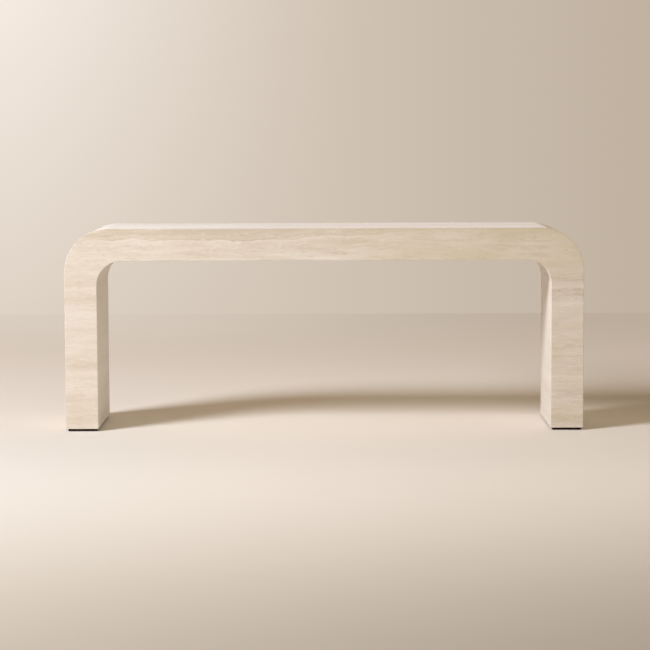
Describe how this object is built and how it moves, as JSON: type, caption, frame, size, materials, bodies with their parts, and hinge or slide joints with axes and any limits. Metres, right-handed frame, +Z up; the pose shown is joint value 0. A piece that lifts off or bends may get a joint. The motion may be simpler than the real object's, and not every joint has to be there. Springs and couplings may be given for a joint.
{
  "type": "console table",
  "caption": "Waterfall console table: a hollow travertine arch of mitred slabs with rounded shoulders over a plywood core, on recessed black base plates with levelling feet.",
  "frame": {"origin": "on the floor, under the middle of the table", "axes": "+X along the table to the right as seen from the front, +Y from the front face to the back face, +Z up"},
  "size_m": [1.829, 0.406, 0.7175],
  "materials": {
    "travertine": "honed vein-cut travertine, filled, cream with tan bands along the strata",
    "plywood": "raw birch plywood, 18 mm",
    "black_steel": "matt black powder coat",
    "zinc_steel": "zinc plated",
    "black_nylon": "moulded black nylon"
  },
  "bodies": {
    "table": {"back_core_rib": "plywood", "back_face_panel": "travertine", "beam_spreader_1": "plywood", "beam_spreader_2": "plywood", "beam_spreader_3": "plywood", "beam_spreader_4": "plywood", "beam_spreader_5": "plywood", "front_core_rib": "plywood", "front_face_panel": "travertine", "left_back_leveller_nut": "zinc_steel", "left_base_block": "plywood", "left_base_plate": "black_steel", "left_base_screw_1": "black_steel", "left_base_screw_2": "black_steel", "left_base_screw_3": "black_steel", "left_base_screw_4": "black_steel", "left_front_leveller_nut": "zinc_steel", "left_inner_corner": "travertine", "left_leg_inner_slab": "travertine", "left_leg_outer_slab": "travertine", "left_leg_spreader_1": "plywood", "left_leg_spreader_2": "plywood", "left_outer_corner": "travertine", "middle_core_rib": "plywood", "right_back_leveller_nut": "zinc_steel", "right_base_block": "plywood", "right_base_plate": "black_steel", "right_base_screw_1": "black_steel", "right_base_screw_2": "black_steel", "right_base_screw_3": "black_steel", "right_base_screw_4": "black_steel", "right_front_leveller_nut": "zinc_steel", "right_inner_corner": "travertine", "right_leg_inner_slab": "travertine", "right_leg_outer_slab": "travertine", "right_leg_spreader_1": "plywood", "right_leg_spreader_2": "plywood", "right_outer_corner": "travertine", "soffit_slab": "travertine", "top_slab": "travertine"},
    "left_front_foot": {"left_front_leveller_foot": "black_nylon"},
    "left_front_stem": {"left_front_leveller_stem": "zinc_steel"},
    "left_back_foot": {"left_back_leveller_foot": "black_nylon"},
    "left_back_stem": {"left_back_leveller_stem": "zinc_steel"},
    "right_front_foot": {"right_front_leveller_foot": "black_nylon"},
    "right_front_stem": {"right_front_leveller_stem": "zinc_steel"},
    "right_back_foot": {"right_back_leveller_foot": "black_nylon"},
    "right_back_stem": {"right_back_leveller_stem": "zinc_steel"}
  },
  "joints": [
    {"name": "left_front_leveller_travel", "type": "slide", "parent": "table", "child": "left_front_foot", "axis": [0, 0, -1], "range_m": [-0.00065, 0.01]},
    {"name": "left_front_leveller_turn", "type": "hinge", "parent": "left_front_foot", "child": "left_front_stem", "pos_m": [-0.85735, -0.1226, 0], "axis": [0, 0, -1], "range_deg": [-190, 2885]},
    {"name": "left_back_leveller_travel", "type": "slide", "parent": "table", "child": "left_back_foot", "axis": [0, 0, -1], "range_m": [-0.00065, 0.01]},
    {"name": "left_back_leveller_turn", "type": "hinge", "parent": "left_back_foot", "child": "left_back_stem", "pos_m": [-0.85735, 0.1226, 0], "axis": [0, 0, -1], "range_deg": [-190, 2885]},
    {"name": "right_front_leveller_travel", "type": "slide", "parent": "table", "child": "right_front_foot", "axis": [0, 0, -1], "range_m": [-0.00065, 0.01]},
    {"name": "right_front_leveller_turn", "type": "hinge", "parent": "right_front_foot", "child": "right_front_stem", "pos_m": [0.85735, -0.1226, 0], "axis": [0, 0, -1], "range_deg": [-190, 2885]},
    {"name": "right_back_leveller_travel", "type": "slide", "parent": "table", "child": "right_back_foot", "axis": [0, 0, -1], "range_m": [-0.00065, 0.01]},
    {"name": "right_back_leveller_turn", "type": "hinge", "parent": "right_back_foot", "child": "right_back_stem", "pos_m": [0.85735, 0.1226, 0], "axis": [0, 0, -1], "range_deg": [-190, 2885]}
  ],
  "couplings": [
    {"joint": "left_front_leveller_turn", "follows": "left_front_leveller_travel", "rad_per_m": 5026.5},
    {"joint": "left_back_leveller_turn", "follows": "left_back_leveller_travel", "rad_per_m": 5026.5},
    {"joint": "right_front_leveller_turn", "follows": "right_front_leveller_travel", "rad_per_m": 5026.5},
    {"joint": "right_back_leveller_turn", "follows": "right_back_leveller_travel", "rad_per_m": 5026.5}
  ]
}
